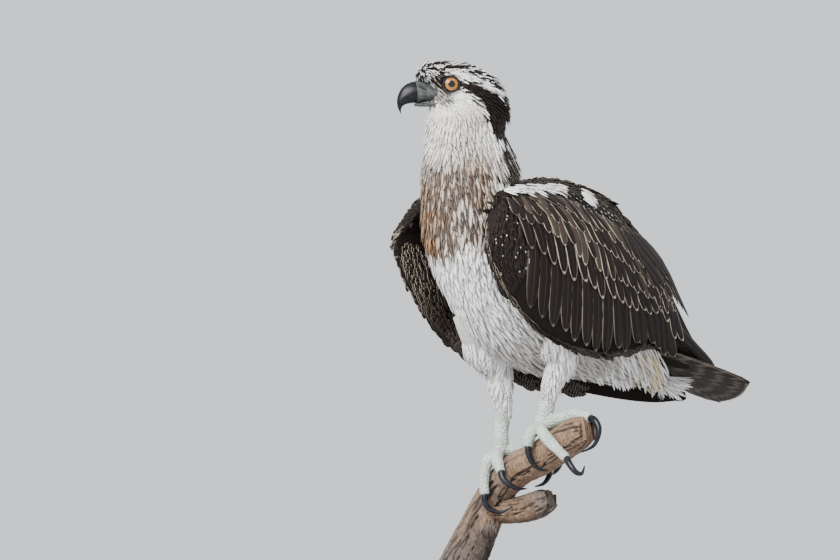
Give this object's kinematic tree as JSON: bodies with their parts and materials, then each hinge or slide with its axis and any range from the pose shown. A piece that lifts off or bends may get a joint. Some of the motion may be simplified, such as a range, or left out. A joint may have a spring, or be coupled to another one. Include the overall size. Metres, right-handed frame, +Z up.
{
  "type": "osprey",
  "caption": "Life-size juvenile osprey, brown above with pale feather edges and white below, gripping a short cut length of dead branch on a plain display stand.",
  "frame": {"origin": "centre of the underside of the stand's base", "axes": "+Z up, -Y the way the bird's body faces, +X the bird's left"},
  "size_m": [0.28, 0.4258, 0.5924],
  "materials": {
    "white_feathers": "matte",
    "breast_feathers": "matte",
    "dark_feathers": "matte",
    "horn": "satin",
    "cere_skin": "satin",
    "iris": "gloss",
    "scales": "matte",
    "dead_wood": "matte",
    "stand_wood": "satin",
    "steel": "satin"
  },
  "bodies": {
    "root": {"torso": "white_feathers", "neck": "breast_feathers", "head": "white_feathers", "eye_left": "iris", "eye_right": "iris", "bill_upper": "horn", "cere": "cere_skin", "bill_lower": "horn", "wing_left": "dark_feathers", "wing_right": "dark_feathers", "tail": "dark_feathers", "thigh_left": "white_feathers", "thigh_right": "white_feathers", "foot_left": "scales", "foot_right": "scales", "perch_branch": "dead_wood", "stand_base": "stand_wood", "stand_rod_1": "steel", "stand_rod_2": "steel", "claw_left_1": "horn", "claw_left_2": "horn", "claw_left_3": "horn", "claw_left_4": "horn", "claw_right_1": "horn", "claw_right_2": "horn", "claw_right_3": "horn", "claw_right_4": "horn"}
  },
  "joints": []
}
